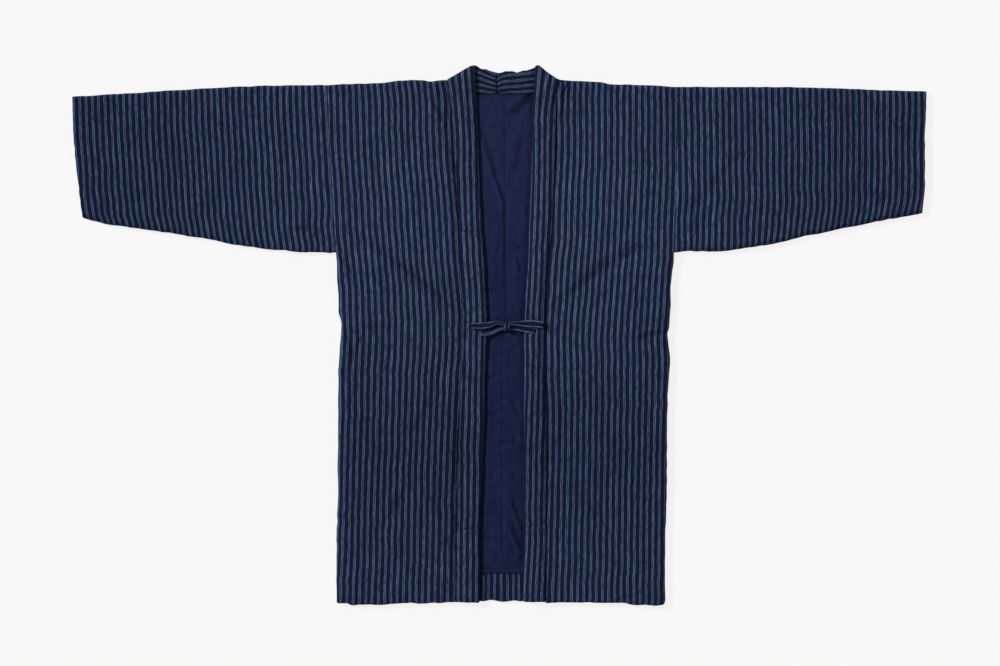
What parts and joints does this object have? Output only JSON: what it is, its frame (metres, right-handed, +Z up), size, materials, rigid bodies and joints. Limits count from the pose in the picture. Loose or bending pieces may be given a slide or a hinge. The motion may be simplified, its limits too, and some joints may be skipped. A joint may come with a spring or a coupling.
{
  "type": "hanten jacket",
  "caption": "Short padded coat of striped cotton with straight sleeves and a long band collar, laid flat and tied at the front in a bow.",
  "frame": {"origin": "middle of the part's box in plan, on the surface that it lies on", "axes": "+X across the coat from cuff to cuff, towards the sleeve on the right as seen from above; +Y from the hem to the collar; +Z up, away from the surface"},
  "size_m": [1.33, 0.8409, 0.0198],
  "materials": {
    "striped_cotton": "matt indigo cotton with narrow pale stripes",
    "lining_cotton": "matt plain dark indigo cotton"
  },
  "bodies": {
    "root": {"front_left": "striped_cotton", "front_right": "striped_cotton", "back_left": "striped_cotton", "back_right": "striped_cotton", "sleeve_left": "striped_cotton", "sleeve_right": "striped_cotton", "collar_neck_left": "striped_cotton", "collar_neck_right": "striped_cotton", "collar_left_upper": "striped_cotton", "collar_left_lower": "striped_cotton", "collar_left_end": "striped_cotton", "collar_right_upper": "striped_cotton", "collar_right_lower": "striped_cotton", "collar_right_end": "striped_cotton", "hem_turn": "striped_cotton", "lining_left": "lining_cotton", "lining_right": "lining_cotton", "tie_left": "striped_cotton", "tie_right": "striped_cotton", "bow_knot": "striped_cotton", "bow_loop_left": "striped_cotton", "bow_loop_right": "striped_cotton", "bow_tail_left": "striped_cotton", "bow_tail_right": "striped_cotton"}
  },
  "joints": []
}
